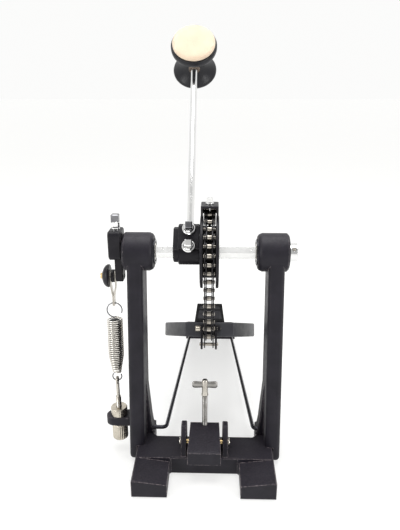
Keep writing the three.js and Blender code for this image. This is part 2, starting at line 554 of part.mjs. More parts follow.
// ---------- toe clevis: back plate on the board's front face and two ears that hold the chain ----------
const CLEVIS_X = WHEEL.x - BOARD.x;
function toeClevis() {
  const [inward, outward] = TOE.ear;
  const face = -BOARD.length - GAP;
  const ear = new THREE.Shape();
  ear.moveTo(face, 7);
  ear.lineTo(TOE.boltY - 4, 6);
  ear.lineTo(TOE.pinY - TOE.round, TOE.pinZ + 3);
  ear.absarc(TOE.pinY, TOE.pinZ, TOE.round, Math.PI, 1.9 * Math.PI);
  ear.lineTo(face, -6);
  const ears = [[-outward, -inward], [inward, outward]]
    .map(([x0, x1]) => slabX(ear, CLEVIS_X + x0, CLEVIS_X + x1));
  const back = block(CLEVIS_X - outward, CLEVIS_X + outward, face - 2, face, -4, 7);
  return cut(join(...ears, back), rodX(TOE.hole, -20, 20, TOE.pinY, TOE.pinZ, 16),
    rodX(2.4, -20, 20, TOE.boltY, TOE.boltZ, 14));
}
add('toe_clevis', toeClevis(), DARK(), boardFrame);
add('toe_clevis_bolt', join(rodX(1.9, CLEVIS_X - 15, CLEVIS_X + 13, TOE.boltY, TOE.boltZ, 14),
  rodX(3.1, CLEVIS_X - 15, CLEVIS_X - 9.1, TOE.boltY, TOE.boltZ, 16),
  rodX(3.6, CLEVIS_X + 9.1, CLEVIS_X + 13, TOE.boltY, TOE.boltZ, 6)), NICKEL(), boardFrame);

// ---------- heel plate and hinge pin ----------
function heelPlate() {
  const { y, z, pin: pinRadius, front, rear, half, high, low, rodZ: rodHeight, rodX: rodSide } = HEEL;
  const plan = new THREE.Shape();
  plan.moveTo(BOARD.x - half, front);
  plan.lineTo(BOARD.x + half, front);
  plan.lineTo(BOARD.x + half, rear - 22);
  plan.quadraticCurveTo(BOARD.x + half, rear, BOARD.x + half - 22, rear);
  plan.lineTo(BOARD.x - half + 22, rear);
  plan.quadraticCurveTo(BOARD.x - half, rear, BOARD.x - half, rear - 22);
  const slope = slabX(outline([[front + 22, high], [rear + 5, low], [rear + 5, high + 5], [front + 22, high + 5]]),
    BOARD.x - half - 5, BOARD.x + half + 5);
  const plate = cut(slabZ(plan, 0, high, 1, 1), slope);
  const lug = new THREE.Shape();
  lug.moveTo(front + 24, high - 2);
  lug.lineTo(y + 5, z + 6);
  lug.absarc(y, z, 7, Math.PI / 3, 1.6 * Math.PI);
  lug.lineTo(front + 3, high - 4);
  const lugs = [[-36, -24.6], [24.6, 36]].map(([x0, x1]) => slabX(lug, BOARD.x + x0, BOARD.x + x1));
  const rodHoles = [-1, 1].map((side) => rodY(2.6, front - 5, front + 16, BOARD.x + side * rodSide, rodHeight, 12));
  return cut(join(plate, ...lugs), rodX(pinRadius + GAP, BOARD.x - 50, BOARD.x + 50, y, z, 16), ...rodHoles);
}
add('heel_plate', heelPlate(), CAST());
add('heel_pin', rodX(HEEL.pin, BOARD.x - 38, BOARD.x + 38, HEEL.y, HEEL.z, 16), NICKEL());

// ---------- radius rods: wire from a hole in each post's foot back to the heel plate ----------
function radiusRod(side, kneeX) {
  const start = new THREE.Vector3(side * 74, ROD_HOLE.y, ROD_HOLE.z);
  const corner = new THREE.Vector3(kneeX, ROD_HOLE.y, ROD_HOLE.z);
  const heelX = BOARD.x + side * HEEL.rodX;
  const entry = new THREE.Vector3(heelX, HEEL.front - 12, HEEL.rodZ);
  const end = new THREE.Vector3(heelX, HEEL.front + 14, HEEL.rodZ);
  const bend = 6;
  const toEntry = entry.clone().sub(corner).normalize();
  const bendIn = corner.clone().add(new THREE.Vector3(side * bend, 0, 0));
  const bendOut = corner.clone().addScaledVector(toEntry, bend);
  const beforeEntry = entry.clone().addScaledVector(toEntry, -10);
  const afterEntry = entry.clone().add(new THREE.Vector3(0, 8, 0));
  const route = new THREE.CurvePath();
  route.add(new THREE.LineCurve3(start, bendIn));
  route.add(new THREE.QuadraticBezierCurve3(bendIn, corner, bendOut));
  route.add(new THREE.LineCurve3(bendOut, beforeEntry));
  route.add(new THREE.QuadraticBezierCurve3(beforeEntry, entry, afterEntry));
  route.add(new THREE.LineCurve3(afterEntry, end));
  const section = new THREE.Shape();
  section.absarc(0, 0, 2.3, 0, 2 * Math.PI);
  return new THREE.ExtrudeGeometry(section, { steps: 44, curveSegments: 4, bevelEnabled: false, extrudePath: route });
}
add('left_radius_rod', radiusRod(-1, -46), NICKEL());
add('right_radius_rod', radiusRod(1, 57), NICKEL());

// ---------- hoop clamp ----------
function clampJaw() {
  const { front, rear, frontHalf, rearHalf, pinY, pinZ, boltY } = CLAMP;
  const side = new THREE.Shape();
  side.moveTo(front, 24.8);
  side.lineTo(front + 2, 23.7);
  side.lineTo(-8, 23.7);
  side.lineTo(rear, 30);
  side.lineTo(rear, 45);
  side.quadraticCurveTo(rear, 46.5, rear - 2, 46.3);
  side.lineTo(front + 2, 41.2);
  side.lineTo(front, 39.6);
  const blockShape = slabX(side, -frontHalf - 1, frontHalf + 1);
  const sidesOff = [-1, 1].map((hand) => slabZ(outline([[hand * frontHalf, front - 3], [hand * rearHalf, rear + 3],
    [hand * 30, rear + 3], [hand * 30, front - 3]]), 0, 80));
  const corners = [-1, 1].map((hand) => slabY(outline([[hand * (frontHalf - 3), 22], [hand * (frontHalf + 3), 22],
    [hand * (frontHalf + 3), 28]]), front - 5, front + 12));
  return cut(blockShape, ...sidesOff, ...corners, rodX(3.3, -30, 30, pinY, pinZ, 16),
    rodZ(3.3, 10, 60, 0, boltY, 14));
}
add('hoop_clamp_jaw', clampJaw(), CAST());
add('clamp_pin', join(rodX(3, -28.4, 28.4, CLAMP.pinY, CLAMP.pinZ, 16),
  rodX(4.3, -28.6, -26.6, CLAMP.pinY, CLAMP.pinZ, 16), rodX(4.3, 26.6, 28.6, CLAMP.pinY, CLAMP.pinZ, 16)), BRASS());

function clampBolt() {
  const y = CLAMP.boltY;
  const barrel = turnZ([[84, 0], [84, 3.9], [86.5, 3.3], [102.5, 3.3], [103.8, 2.4], [103.8, 0]], 0, y, 16);
  const wing = slabX(roundedBox(y - 2, y + 2, 93.2, 101.6, 1.2), -14, 14, 1, 1);
  return join(rodZ(2.9, 24.8, 86, 0, y, 14), barrel, wing);
}
add('clamp_t_bolt', clampBolt(), NICKEL());

export default pedal;
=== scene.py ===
"""Looks of a chain-drive bass drum pedal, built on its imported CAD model.
Metres. +X is right seen from the drum, +Y runs to the player's heel, +Z is up."""
import json
import math

import bmesh
import bpy
from mathutils import Matrix, Vector


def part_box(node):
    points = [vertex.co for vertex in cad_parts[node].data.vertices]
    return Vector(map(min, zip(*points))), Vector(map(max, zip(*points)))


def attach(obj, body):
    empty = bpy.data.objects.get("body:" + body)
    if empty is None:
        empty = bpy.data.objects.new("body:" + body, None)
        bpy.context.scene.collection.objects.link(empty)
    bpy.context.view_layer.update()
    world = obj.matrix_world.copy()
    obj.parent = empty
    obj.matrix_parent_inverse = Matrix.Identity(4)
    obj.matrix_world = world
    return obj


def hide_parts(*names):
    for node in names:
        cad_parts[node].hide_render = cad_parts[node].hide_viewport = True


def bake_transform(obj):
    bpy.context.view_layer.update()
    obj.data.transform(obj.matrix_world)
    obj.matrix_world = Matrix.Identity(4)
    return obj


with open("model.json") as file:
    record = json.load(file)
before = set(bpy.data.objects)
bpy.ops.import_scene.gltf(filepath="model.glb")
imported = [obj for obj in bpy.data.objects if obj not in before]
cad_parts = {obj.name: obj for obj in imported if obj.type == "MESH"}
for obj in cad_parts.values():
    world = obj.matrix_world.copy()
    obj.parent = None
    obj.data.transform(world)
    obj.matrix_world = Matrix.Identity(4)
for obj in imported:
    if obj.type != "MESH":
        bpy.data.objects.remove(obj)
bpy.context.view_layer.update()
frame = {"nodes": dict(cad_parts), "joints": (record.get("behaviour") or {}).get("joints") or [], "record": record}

MM = 0.001
X_AXIS = Vector((1, 0, 0))
Y_AXIS = Vector((0, 1, 0))

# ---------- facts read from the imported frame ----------
JOINTS = {joint["name"]: joint for joint in frame["joints"]}
BODY_OF = {node: body for body, nodes in frame["record"]["behaviour"]["bodies"].items() for node in nodes}


def pivot(joint):
    return Vector(JOINTS[joint]["pos_m"])


def middle(node):
    low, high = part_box(node)
    return (low + high) / 2


AXLE = pivot("axle_spin")
SHAFT_UP = Vector(JOINTS["beater_height"]["axis"]).normalized()
TO_DRUM = X_AXIS.cross(SHAFT_UP)  # square to the shaft, the way the beater strikes
BOARD_TILT = math.radians(26.2)
HEEL_PIVOT = pivot("footboard_tilt")


def axes(origin, along, side=X_AXIS):
    """A frame with local Z along `along` and local X as near to `side` as it can be."""
    z = along.normalized()
    if abs(z.dot(side)) > 0.99:
        side = Y_AXIS
    x = (side - z * side.dot(z)).normalized()
    turn = Matrix((x, z.cross(x), z)).transposed().to_4x4()
    return Matrix.Translation(origin) @ turn


# ---------- materials ----------
class Nodes:
    """Short hand for building one material's node tree."""

    def __init__(self, name):
        self.material = bpy.data.materials.new(name)
        self.material.use_nodes = True
        self.tree = self.material.node_tree
        self.shader = self.tree.nodes["Principled BSDF"]

    def add(self, kind, **inputs):
        node = self.tree.nodes.new(kind)
        for key, value in inputs.items():
            socket = node.inputs[key.replace("_", " ")]
            if isinstance(value, bpy.types.NodeSocket):
                self.tree.links.new(value, socket)
            else:
                socket.default_value = value
        return node

    def noise(self, vector, scale, detail=4.0, rough=0.55):
        return self.add("ShaderNodeTexNoise", Vector=vector, Scale=scale, Detail=detail,
                        Roughness=rough).outputs["Fac"]

    def spread(self, value, low, high, to_low, to_high):
        node = self.add("ShaderNodeMapRange")
        for socket, amount in zip(list(node.inputs)[1:5], (low, high, to_low, to_high)):
            socket.default_value = amount
        self.tree.links.new(value, node.inputs[0])
        return node.outputs[0]

    def math(self, operation, a, b):
        node = self.tree.nodes.new("ShaderNodeMath")
        node.operation = operation
        for socket, value in zip(node.inputs, (a, b)):
            if isinstance(value, bpy.types.NodeSocket):
                self.tree.links.new(value, socket)
            else:
                socket.default_value = value
        return node.outputs[0]

    def mix(self, factor, first, second):
        node = self.tree.nodes.new("ShaderNodeMix")
        node.data_type = "RGBA"
        for socket, value in zip((node.inputs[0], node.inputs[6], node.inputs[7]), (factor, first, second)):
            if isinstance(value, bpy.types.NodeSocket):
                self.tree.links.new(value, socket)
            else:
                socket.default_value = value
        return node.outputs[2]

    def edges(self, radius, keenness):
        """1 on convex and concave edges within radius, 0 on open faces."""
        bevel = self.add("ShaderNodeBevel", Radius=radius)
        bevel.samples = 6
        geometry = self.tree.nodes.new("ShaderNodeNewGeometry")
        dot = self.tree.nodes.new("ShaderNodeVectorMath")
        dot.operation = "DOT_PRODUCT"
        self.tree.links.new(bevel.outputs["Normal"], dot.inputs[0])
        self.tree.links.new(geometry.outputs["Normal"], dot.inputs[1])
        return self.spread(dot.outputs["Value"], 0.995, keenness, 0.0, 1.0)


def rgb(red, green, blue):
    return (red, green, blue, 1.0)


def finish(name, base, other, rough, vary=0.06, metal=0.0, blotch=60.0, grain=1200.0, bump=0.15,
           stretch=(1, 1, 1),
           wear=None, wear_radius=0.9 * MM, wear_rough=0.35, lit_tops_and_dust=None, specular=0.5, depth=0.25 * MM):
    """Blotchy colour, uneven gloss, a fine grained surface and, if asked, worn edges and up-facing tops painted
    lighter, a painted highlight for light from above, broken by dust specks.
    """
    n = Nodes(name)
    place = n.tree.nodes.new("ShaderNodeTexCoord").outputs["Object"]
    spot = n.add("ShaderNodeMapping", Vector=place, Scale=stretch).outputs["Vector"]
    patches = n.spread(n.noise(spot, blotch), 0.35, 0.65, 0.0, 1.0)
    colour = n.mix(patches, base, other)
    roughness = n.spread(n.noise(spot, blotch * 3.3, detail=6.0), 0.3, 0.7, rough - vary, rough + vary)
    # Up-facing surfaces are painted lighter: a painted highlight for the light from above, broken up by dust
    # specks.
    if lit_tops_and_dust:
        facing = n.tree.nodes.new("ShaderNodeSeparateXYZ")
        n.tree.links.new(n.tree.nodes.new("ShaderNodeNewGeometry").outputs["Normal"], facing.inputs[0])
        upward = n.spread(facing.outputs["Z"], 0.35, 0.95, 0.0, 1.0)
        specks = n.spread(n.noise(place, 650.0, detail=7.0, rough=0.75), 0.44, 0.66, 0.25, 1.0)
        colour = n.mix(n.math("MULTIPLY", upward, specks), colour, lit_tops_and_dust)
    if wear:
        torn = n.spread(n.noise(place, 420.0, detail=6.0, rough=0.7), 0.42, 0.62, 0.0, 1.0)
        worn = n.math("MULTIPLY", n.edges(wear_radius, 0.86), torn)
        colour = n.mix(worn, colour, wear)
        roughness = n.math("ADD", roughness, n.math("MULTIPLY", worn, wear_rough - rough))
    n.tree.links.new(colour, n.shader.inputs["Base Color"])
    n.tree.links.new(roughness, n.shader.inputs["Roughness"])
    if bump:
        height = n.noise(spot, grain, detail=3.0)
        relief = n.add("ShaderNodeBump", Height=height, Strength=bump, Distance=depth)
        n.tree.links.new(relief.outputs["Normal"], n.shader.inputs["Normal"])
    n.shader.inputs["Metallic"].default_value = metal
    n.shader.inputs["Specular IOR Level"].default_value = specular
    return n.material


# Its tops carry a painted highlight for light from above, with dust specks.
CASTING = finish("powder_coat", rgb(0.0075, 0.0065, 0.0105), rgb(0.013, 0.0115, 0.017), 0.47, vary=0.08,
                 blotch=45,
                 grain=1500, bump=0.45, wear=rgb(0.34, 0.29, 0.30), wear_rough=0.4, wear_radius=1.2 * MM,
                 specular=0.24,
                 lit_tops_and_dust=rgb(0.036, 0.032, 0.040))
# A lighter copy of the powder coat for the footboard and its grips: painted light, standing in for the light
# falling on the board's side flanges.
BOARD_COAT_PAINTED_LIGHT = finish("board_coat_painted_light", rgb(0.024, 0.0245, 0.030), rgb(0.036, 0.0365, 0.043), 0.42, vary=0.07,
                    blotch=50,
                    grain=1500, bump=0.4, wear=rgb(0.22, 0.20, 0.20), wear_rough=0.4, wear_radius=0.9 * MM,
                    specular=0.42)
STEEL = finish("black_steel", rgb(0.006, 0.0055, 0.008), rgb(0.011, 0.010, 0.013), 0.38, vary=0.07, blotch=80,
               grain=2200, bump=0.18, wear=rgb(0.16, 0.15, 0.14), wear_radius=0.5 * MM, specular=0.22)
CHROME = finish("chrome", rgb(0.86, 0.86, 0.85), rgb(0.78, 0.78, 0.78), 0.10, vary=0.05, metal=1.0, blotch=35,
                grain=900, bump=0.03)
AXLE_STEEL = finish("axle_steel", rgb(0.95, 0.95, 0.94), rgb(0.90, 0.90, 0.89), 0.24, vary=0.05, metal=0.72,
                    blotch=50,
                    grain=1200, bump=0.04)
NICKEL = finish("nickel", rgb(0.56, 0.53, 0.48), rgb(0.40, 0.375, 0.335), 0.25, vary=0.08, metal=1.0,
                blotch=120,
                grain=1600, bump=0.10)
ZINC = finish("yellowed_zinc", rgb(0.62, 0.575, 0.49), rgb(0.50, 0.455, 0.385), 0.24, vary=0.07, metal=1.0,
              blotch=160,
              grain=1800, bump=0.12)
BRASS = finish("brass", rgb(0.72, 0.55, 0.28), rgb(0.58, 0.42, 0.20), 0.26, vary=0.07, metal=1.0, blotch=140,
               grain=1600, bump=0.08)
SMOKED = finish("smoked_chrome", rgb(0.26, 0.26, 0.27), rgb(0.15, 0.15, 0.16), 0.12, vary=0.05, metal=1.0,
                blotch=90,
                grain=1200, bump=0.05)
WIRE = finish("dark_wire", rgb(0.055, 0.055, 0.065), rgb(0.035, 0.035, 0.042), 0.22, vary=0.07, metal=0.9,
              blotch=60,
              grain=1500, bump=0.08)
PLATE = finish("chain_plate", rgb(0.014, 0.0135, 0.016), rgb(0.030, 0.0285, 0.030), 0.32, vary=0.08,
               metal=0.8, blotch=200,
               grain=2500, bump=0.12, wear=rgb(0.20, 0.185, 0.17), wear_radius=0.2 * MM)
GREY_STEEL = finish("grey_steel", rgb(0.36, 0.35, 0.335), rgb(0.24, 0.23, 0.215), 0.32, vary=0.07, metal=1.0,
                    blotch=110,
                    grain=1800, bump=0.06)
ROLLER = finish("chain_roller", rgb(0.52, 0.49, 0.44), rgb(0.34, 0.31, 0.27), 0.20, vary=0.06, metal=1.0,
                blotch=250,
                grain=2500, bump=0.05)
PLASTIC = finish("black_plastic", rgb(0.005, 0.005, 0.007), rgb(0.009, 0.009, 0.012), 0.36, vary=0.06,
                 blotch=70,
                 grain=1800, bump=0.12, wear=rgb(0.07, 0.068, 0.066), wear_radius=0.6 * MM, specular=0.28)
RUBBER = finish("rubber", rgb(0.007, 0.007, 0.008), rgb(0.014, 0.014, 0.015), 0.62, vary=0.08, blotch=110,
                grain=1400, bump=0.35, specular=0.25)
PANEL = finish("grey_rubber", rgb(0.030, 0.030, 0.034), rgb(0.050, 0.049, 0.053), 0.55, vary=0.08, blotch=160,
               grain=1500, bump=0.35, specular=0.3)
BROWN = finish("glue_line", rgb(0.16, 0.115, 0.085), rgb(0.09, 0.065, 0.05), 0.5, vary=0.08, blotch=200,
               grain=1500, bump=0.2)


def felt_material():
    """Pressed wool: pale and matt, with short tangled fibres and a few darker struck spots."""
    n = Nodes("felt")
    place = n.tree.nodes.new("ShaderNodeTexCoord").outputs["Object"]
    cloud = n.spread(n.noise(place, 55.0, detail=5.0), 0.35, 0.68, 0.0, 1.0)
    colour = n.mix(cloud, rgb(0.74, 0.60, 0.45), rgb(0.66, 0.52, 0.385))
    fibres = n.noise(place, 1500.0, detail=8.0, rough=0.75)
    strands = n.add("ShaderNodeTexNoise", Vector=place, Scale=620.0, Detail=6.0,
                    Distortion=2.2).outputs["Fac"]
    flecks = n.spread(strands, 0.56, 0.72, 0.0, 0.5)
    colour = n.mix(flecks, colour, rgb(0.80, 0.69, 0.55))
    relief = n.add("ShaderNodeBump", Height=n.math("ADD", fibres, strands), Strength=0.75, Distance=0.5 * MM)
    n.tree.links.new(colour, n.shader.inputs["Base Color"])
    n.tree.links.new(relief.outputs["Normal"], n.shader.inputs["Normal"])
    roughness = n.spread(fibres, 0.3, 0.7, 0.86, 0.98)
    n.tree.links.new(roughness, n.shader.inputs["Roughness"])
    n.shader.inputs["Sheen Weight"].default_value = 0.35
    n.shader.inputs["Sheen Roughness"].default_value = 0.5
    n.shader.inputs["Specular IOR Level"].default_value = 0.2
    return n.material


FELT = felt_material()
COIL = finish("spring_steel", rgb(0.84, 0.81, 0.755), rgb(0.72, 0.69, 0.64), 0.27, vary=0.04, metal=1.0,
              blotch=90,
              grain=1600, bump=0.02)


# ---------- mesh building ----------
class Form:
    """Gathers closed shells, each with a material, into one mesh."""

    def __init__(self, *materials):
        self.materials = materials
        self.points = []
        self.faces = []
        self.marks = []

    def add(self, points, faces, mark=0):
        start = len(self.points)
        self.points += [Vector(point) for point in points]
        self.faces += [[start + corner for corner in face] for face in faces]
        self.marks += [mark] * len(faces)
        return self

    def rings(self, rings, matrix=Matrix(), mark=0, loop=False):
        """Joins rings of equal count into a skin, closed by caps or onto itself."""
        count = len(rings[0])
        points = [matrix @ Vector(point) for ring in rings for point in ring]
        faces = []
        pairs = len(rings) if loop else len(rings) - 1
        for row in range(pairs):
            here, there = row * count, (row + 1) % len(rings) * count
            for i in range(count):
                j = (i + 1) % count
                faces.append([here + i, here + j, there + j, there + i])
        if not loop:
            faces.append(list(range(count))[::-1])
            faces.append([(len(rings) - 1) * count + i for i in range(count)])
        return self.add(points, faces, mark)

    def turn(self, profile, matrix, mark=0, steps=48, loop=False):
        """Revolves (height, radius) pairs about local Z. Ends without a radius get a small cap."""
        turns = [(math.cos(2 * math.pi * i / steps), math.sin(2 * math.pi * i / steps)) for i in range(steps)]
        tip = 0.02 * MM
        rings = [[(max(r, tip) * c, max(r, tip) * s, h) for c, s in turns] for h, r in profile]
        return self.rings(rings, matrix, mark, loop)

    def shaped(self, radius_at, heights, matrix, mark=0, steps=48, bore=0.0):
        """Like turn, but the radius also depends on the angle round the axis. A bore makes it a tube."""
        angles = [2 * math.pi * i / steps for i in range(steps)]
        rings = [[(radius_at(a, h) * math.cos(a), radius_at(a, h) * math.sin(a), h) for a in angles]
                 for h in heights]
        if bore:
            rings += [[(bore * math.cos(a), bore * math.sin(a), h) for a in angles]
                      for h in (heights[-1], heights[0])]
        return self.rings(rings, matrix, mark, loop=bool(bore))

    def sweep(self, path, radius, mark=0, sides=10, loop=False):
        """A round wire along a path of points."""
        count = len(path)
        rings = []
        side = None
        for i, point in enumerate(path):
            before = path[i - 1] if i or loop else point
            after = path[(i + 1) % count] if i < count - 1 or loop else point
            ahead = (after - before).normalized()
            if side is None:
                side = ahead.orthogonal().normalized()
            side = (side - ahead * side.dot(ahead)).normalized()
            up = ahead.cross(side)
            rings.append([point + (side * math.cos(t) + up * math.sin(t)) * radius
                          for t in (2 * math.pi * k / sides for k in range(sides))])
        return self.rings(rings, Matrix(), mark, loop)

    def prism(self, outline, low, high, matrix, mark=0):
        """An outline in local X and Y, from low to high along local Z."""
        return self.rings([[(x, y, h) for x, y in outline] for h in (low, high)], matrix, mark)

    def build(self, name, nodes=(), body=None, bevel=0.0, angle=38.0, smooth=34.0):
        mesh = bpy.data.meshes.new(name)
        mesh.from_pydata(self.points, [], self.faces)
        for polygon, mark in zip(mesh.polygons, self.marks):
            polygon.material_index = mark
        for material in self.materials:
            mesh.materials.append(material)
        clean = bmesh.new()
        clean.from_mesh(mesh)
        bmesh.ops.recalc_face_normals(clean, faces=clean.faces)
        clean.to_mesh(mesh)
        clean.free()
        return settle(name, mesh, nodes, body, bevel, angle, smooth)


def settle(name, mesh, nodes, body, bevel, angle, smooth):
    """Makes the object, rounds its edges, shades it, and ties it to the CAD."""
    piece = bpy.data.objects.new(name, mesh)
    bpy.context.scene.collection.objects.link(piece)
    if bevel:
        rounding = piece.modifiers.new("rounding", "BEVEL")
        rounding.width = bevel
        rounding.segments = 3
        rounding.limit_method = "ANGLE"
        rounding.angle_limit = math.radians(angle)
        rounding.miter_outer = "MITER_ARC"
        depsgraph = bpy.context.evaluated_depsgraph_get()
        piece.data = bpy.data.meshes.new_from_object(piece.evaluated_get(depsgraph))
        piece.modifiers.clear()
    piece.data.shade_smooth()
    piece.data.set_sharp_from_angle(angle=math.radians(smooth))
    if bevel:
        shading = piece.modifiers.new("shading", "WEIGHTED_NORMAL")
        shading.keep_sharp = True
    nodes = [nodes] if isinstance(nodes, str) else list(nodes)
    if body != "later":
        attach(piece, body or BODY_OF[nodes[0]])
    if nodes:
        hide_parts(*nodes)
    return piece


def refined(node, material, bevel, angle=38.0, smooth=34.0, flat=1.5):
    """The CAD node's own shape with clean faces and rounded edges."""
    mesh = bpy.data.meshes.new(node + "_fine")
    clean = bmesh.new()
    clean.from_mesh(frame["nodes"][node].data)
    bmesh.ops.remove_doubles(clean, verts=clean.verts, dist=0.003 * MM)
    bmesh.ops.dissolve_limit(clean, angle_limit=math.radians(flat), verts=clean.verts, edges=clean.edges)
    bmesh.ops.recalc_face_normals(clean, faces=clean.faces)
    for face in clean.faces:
        face.material_index = 0
    clean.to_mesh(mesh)
    clean.free()
    mesh.materials.clear()
    mesh.materials.append(material)
    return settle(node + "_fine", mesh, node, None, bevel, angle, smooth)


def arc(centre, radius, start, end, steps):
    """Points on a circle from start to end degrees."""
    angles = [math.radians(start + (end - start) * i / steps) for i in range(steps + 1)]
    return [(centre[0] + radius * math.cos(a), centre[1] + radius * math.sin(a)) for a in angles]


def rounded_route(corners, bends, steps=10):
    """Straight runs between corners, with each inner corner rounded by its bend length."""
    route = [corners[0]]
    for before, corner, after, bend in zip(corners, corners[1:], corners[2:], bends):
        start = corner + (before - corner).normalized() * bend
        end = corner + (after - corner).normalized() * bend
        for i in range(steps + 1):
            t = i / steps
            route.append(start * (1 - t) ** 2 + corner * 2 * t * (1 - t) + end * t * t)
    route.append(corners[-1])
    return route


def thread_radius(radius, depth, pitch):
    def at(angle, height):
        share = (height / pitch - angle / (2 * math.pi)) % 1.0
        return radius - depth * abs(2 * share - 1)
    return at


def steps_between(low, high, step):
    count = max(2, round((high - low) / step))
    return [low + (high - low) * i / count for i in range(count + 1)]


# ---------- castings and plain steel pieces ----------
def castings():
    for node in ("base_casting", "left_post", "right_post", "heel_plate", "hoop_clamp_jaw"):
        refined(node, CASTING, 1.0 * MM)
    # The footboard gets the lighter coat, painted light for its lit side flanges.
    refined("footboard", BOARD_COAT_PAINTED_LIGHT, 0.8 * MM)
    for node, bevel in (("beater_hub", 0.7), ("rocker_arm", 0.7), ("drive_wheel", 0.3), ("toe_clevis", 0.3),
                        ("chain_clamp", 0.35)):
        refined(node, STEEL, bevel * MM)
    refined("base_pad", RUBBER, 0.4 * MM)
    refined("hex_axle", AXLE_STEEL, 0.3 * MM, angle=50)
    refined("end_collar", CHROME, 0.25 * MM)
    refined("spring_stirrup", NICKEL, 0.3 * MM)
    refined("heel_pin", NICKEL, 0.4 * MM)
    for node in ("post_screw_left", "post_screw_right", "end_collar_screw"):
        refined(node, NICKEL, 0.3 * MM)


# ---------- bearings ----------
def bearings():
    for side, word in ((-1, "left"), (1, "right")):
        low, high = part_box(f"bearing_outer_{word}")
        near = (high if side < 0 else low).x
        width = high.x - low.x
        place = axes(Vector((near, AXLE.y, AXLE.z)), X_AXIS * side)
        outer_profile = [(0.5, 10.7), (0, 11.1), (0, 13.4), (0.6, 14), (width / MM - 0.6, 14),
                         (width / MM, 13.4),
                         (width / MM, 10.7)]
        outer = Form(WIRE, RUBBER)
        outer.turn([(h * MM, r * MM) for h, r in outer_profile], place, loop=True, steps=64)
        seal = [(0.9, 9.55), (0.7, 10.0), (0.9, 10.65), (1.6, 10.65), (1.6, 9.55)]
        outer.turn([(h * MM, r * MM) for h, r in seal], place, mark=1, loop=True, steps=64)
        outer.build(f"bearing_outer_{word}_fine", f"bearing_outer_{word}")
        inner_profile = [(0, 6.8), (0.4, 6.35), (width / MM, 6.35), (width / MM, 9.3), (0.5, 9.4), (0, 8.9)]
        inner = Form(NICKEL)
        inner.turn([(h * MM, r * MM) for h, r in inner_profile], place, loop=True, steps=64)
        inner.build(f"bearing_inner_{word}_fine", f"bearing_inner_{word}")


# ---------- key screws on the hub and the rocker ----------
def square_head(form, place, base, height, half, mark=0):
    """A square drum-key head with a chamfered top and rounded corners."""
    def ring(size, corner, at):
        points = []
        for quarter in range(4):
            spin = 90.0 * quarter
            cx = (size - corner) * (1 if quarter in (0, 3) else -1)
            cy = (size - corner) * (1 if quarter in (0, 1) else -1)
            points += [(x, y, at) for x, y in arc((cx, cy), corner, spin, spin + 90, 4)]
        return points
    chamfer = 0.8 * MM
    form.rings([ring(half, 0.7 * MM, base), ring(half, 0.7 * MM, base + height - chamfer),
                ring(half - chamfer, 0.5 * MM, base + height)], place, mark)


def hub_screws():
    face = 15.8 * MM
    flange, half = 7.1 * MM, 3.7 * MM
    tips = {"hub_screw_upper": (19.7 * MM, 8.0 * MM), "hub_screw_lower": (0.0, -6.8 * MM)}
    across = middle("beater_shaft").x
    for node, (height, tip) in tips.items():
        place = axes(Vector((across, AXLE.y, AXLE.z)) + SHAFT_UP * height, TO_DRUM)
        form = Form(CHROME, SMOKED)
        profile = [(face, 0), (face, flange - 0.5 * MM), (face + 0.5 * MM, flange), (face + 1.7 * MM, flange),
                   (face + 2.4 * MM, flange - 0.8 * MM), (face + 2.5 * MM, flange - 1.7 * MM),
                   (face + 3.4 * MM, flange - 2.0 * MM), (face + 4.2 * MM, flange - 2.9 * MM),
                   (face + 4.2 * MM, 0)]
        form.turn(profile, place)
        square_head(form, place, face + 3.6 * MM, 7.9 * MM, half, mark=1 if height else 0)
        low = -tip if height else -tip + 0.2 * MM
        form.shaped(thread_radius(3.0 * MM, 0.35 * MM, 0.8 * MM),
                    steps_between(low, face + 0.1 * MM, 0.2 * MM), place,
                    steps=28)
        form.build(node + "_fine", node)


def rocker_bolt():
    low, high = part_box("rocker_key_bolt")
    centre = (low + high) / 2
    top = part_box("rocker_arm")[1].z
    place = Matrix.Translation(Vector((centre.x, centre.y, 0)))
    form = Form(CHROME, SMOKED)
    form.turn([(top + 0.3 * MM, 0), (top + 0.3 * MM, 4.2 * MM), (top + 2.2 * MM, 4.2 * MM),
               (top + 2.6 * MM, 4.9 * MM),
               (top + 3.2 * MM, 5.2 * MM), (top + 7.8 * MM, 5.2 * MM), (top + 8.6 * MM, 4.5 * MM),
               (top + 8.6 * MM, 0)],
              place)
    square_head(form, place, top + 8.2 * MM, high.z - top - 8.2 * MM, 4.05 * MM, mark=1)
    form.shaped(thread_radius(3.0 * MM, 0.35 * MM, 0.8 * MM), steps_between(low.z, top + 0.4 * MM, 0.2 * MM),
                place,
                steps=28)
    form.build("rocker_key_bolt_fine", "rocker_key_bolt")


# ---------- rocker pin and its cap ----------
def rocker_pin():
    place = axes(pivot("stirrup_swing"), X_AXIS)
    place.translation.x = 0
    tip = [(-113.9, 0), (-113.9, 2.2), (-113.6, 2.9), (-112.9, 3.3), (-111.6, 3.3), (-111.5, 2.5),
           (-111.0, 0)]
    rest = [(-111.0, 0), (-111.0, 2.5), (-101.9, 2.5), (-101.9, 6.5), (-101.4, 7.0), (-98.7, 7.0),
            (-98.2, 6.5),
            (-98.2, 2.5), (-89.3, 2.5), (-89.0, 2.2), (-89.0, 0)]
    form = Form(BRASS, STEEL)
    for mark, profile in enumerate((tip, rest)):
        form.turn([(h * MM, r * MM) for h, r in profile], place, mark)
    form.build("rocker_pin_fine", "rocker_pin")
    cap = [(-111.2, 2.8), (-111.2, 5.2), (-110.8, 6.1), (-110.2, 6.3), (-110.0, 8.4), (-109.2, 9.9),
           (-107.8, 11.4),
           (-106.4, 12.3), (-105.4, 12.6), (-104.4, 12.6), (-103.9, 12.2), (-103.7, 11.6), (-103.7, 2.8)]
    shell = Form(PLASTIC)
    shell.turn([(h * MM, r * MM) for h, r in cap], place, steps=64, loop=True)
    shell.build("pin_cap_fine", "pin_cap")


# ---------- beater ----------
HEAD_CENTRE = pivot("beater_turn") + SHAFT_UP * 11 * MM


